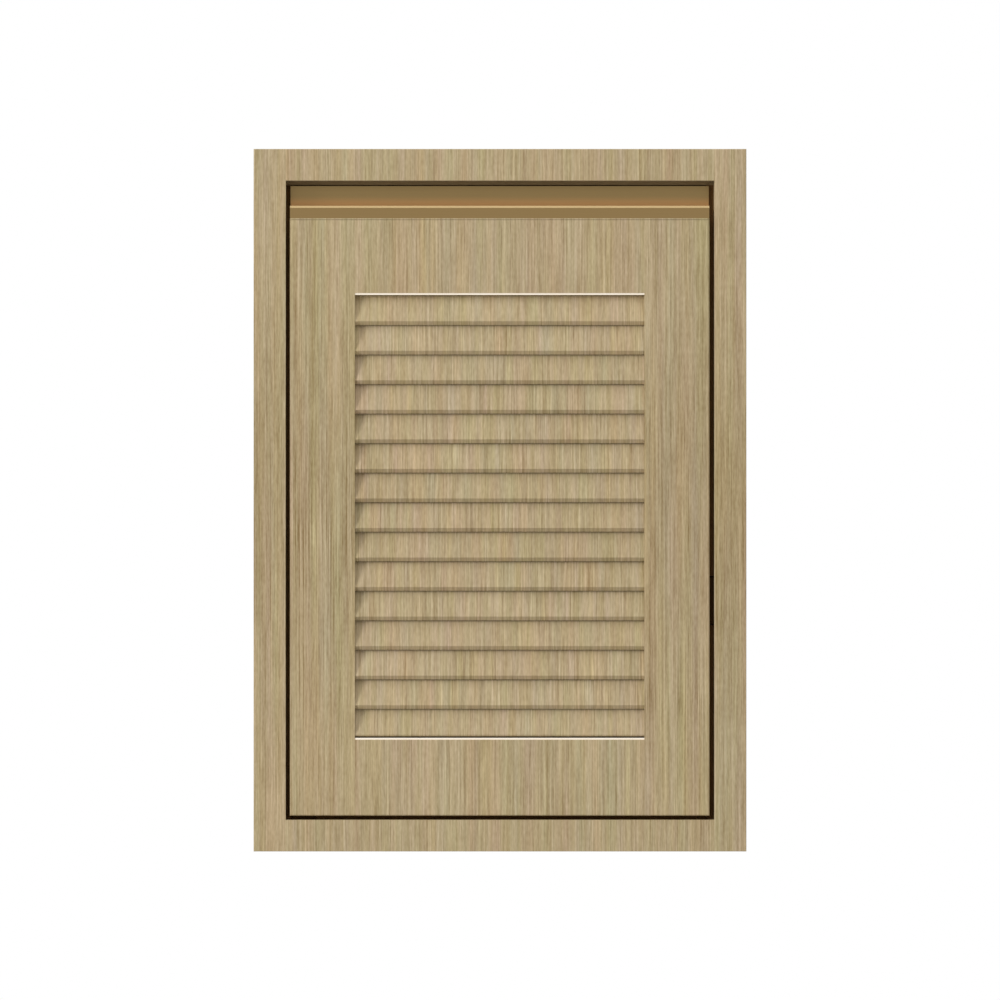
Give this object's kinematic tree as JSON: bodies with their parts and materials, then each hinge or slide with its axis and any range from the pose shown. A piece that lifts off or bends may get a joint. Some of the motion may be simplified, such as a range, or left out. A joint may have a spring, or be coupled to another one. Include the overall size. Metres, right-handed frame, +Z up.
{
  "type": "hanging wall cabinet",
  "caption": "Hanging wall cabinet with a face frame, an inset louvred door on concealed hinges, a metal finger pull along the door's top edge and a loose shelf inside.",
  "frame": {"origin": "on the wall plane, in the middle of the four wall screws, which is the middle of the back", "axes": "+X to the right seen from the front, +Y into the wall, +Z up; the front of the face frame looks along -Y"},
  "size_m": [0.47, 0.32, 0.67],
  "materials": {
    "oak_decor": "matt light oak decor laminate with vertical grain",
    "oak_decor_inside": "matt light oak decor laminate",
    "back_board": "thin fibreboard with printed decor",
    "white_strip": "cream white satin plastic strip",
    "bronze_pull": "satin champagne bronze anodised",
    "hinge_steel": "nickel plated steel",
    "screw_steel": "zinc plated steel",
    "beech_dowel": "plain beech",
    "cap_plastic": "beige push-in cap",
    "catch_plastic": "brown moulded plastic",
    "stained_strip": "brown stained beech strip",
    "ferrite_magnet": "dark ferrite"
  },
  "bodies": {
    "cabinet": {"back_panel": "back_board", "back_panel_screws": "screw_steel", "bottom_panel": "oak_decor", "carcass_dowels": "beech_dowel", "carcass_screws": "screw_steel", "catch_block": "oak_decor_inside", "catch_body": "catch_plastic", "catch_magnet": "ferrite_magnet", "catch_screws": "screw_steel", "frame_backing_top": "oak_decor_inside", "frame_corner_dowels": "beech_dowel", "frame_rail_bottom": "oak_decor", "frame_rail_top": "oak_decor", "frame_stile_left": "oak_decor", "frame_stile_right": "oak_decor", "frame_stop_strips": "stained_strip", "hanging_rail_lower": "oak_decor_inside", "hanging_rail_upper": "oak_decor_inside", "hinge_arm_lower": "hinge_steel", "hinge_arm_screws": "screw_steel", "hinge_arm_upper": "hinge_steel", "hinge_block_lower": "oak_decor_inside", "hinge_block_upper": "oak_decor_inside", "screw_caps": "cap_plastic", "shelf": "oak_decor", "shelf_edge_band": "oak_decor", "shelf_pins": "hinge_steel", "side_left": "oak_decor", "side_right": "oak_decor", "top_panel": "oak_decor"},
    "door": {"door_dowels": "beech_dowel", "door_rail_bottom": "oak_decor", "door_rail_top": "oak_decor", "door_stile_left": "oak_decor", "door_stile_right": "oak_decor", "finger_pull": "bronze_pull", "finger_pull_screws": "screw_steel", "hinge_housing_lower": "hinge_steel", "hinge_housing_screws": "screw_steel", "hinge_housing_upper": "hinge_steel", "hinge_pins": "hinge_steel", "louvre_slat_01": "oak_decor", "louvre_slat_02": "oak_decor", "louvre_slat_03": "oak_decor", "louvre_slat_04": "oak_decor", "louvre_slat_05": "oak_decor", "louvre_slat_06": "oak_decor", "louvre_slat_07": "oak_decor", "louvre_slat_08": "oak_decor", "louvre_slat_09": "oak_decor", "louvre_slat_10": "oak_decor", "louvre_slat_11": "oak_decor", "louvre_slat_12": "oak_decor", "louvre_slat_13": "oak_decor", "louvre_slat_14": "oak_decor", "louvre_slat_15": "oak_decor", "louvre_trim_bottom": "white_strip", "louvre_trim_top": "white_strip", "strike_plate": "hinge_steel", "strike_screws": "screw_steel"}
  },
  "joints": [
    {"name": "door_swing", "type": "hinge", "parent": "cabinet", "child": "door", "pos_m": [-0.19065, -0.3105, 0], "axis": [0, 0, -1], "range_deg": [0, 100]}
  ]
}
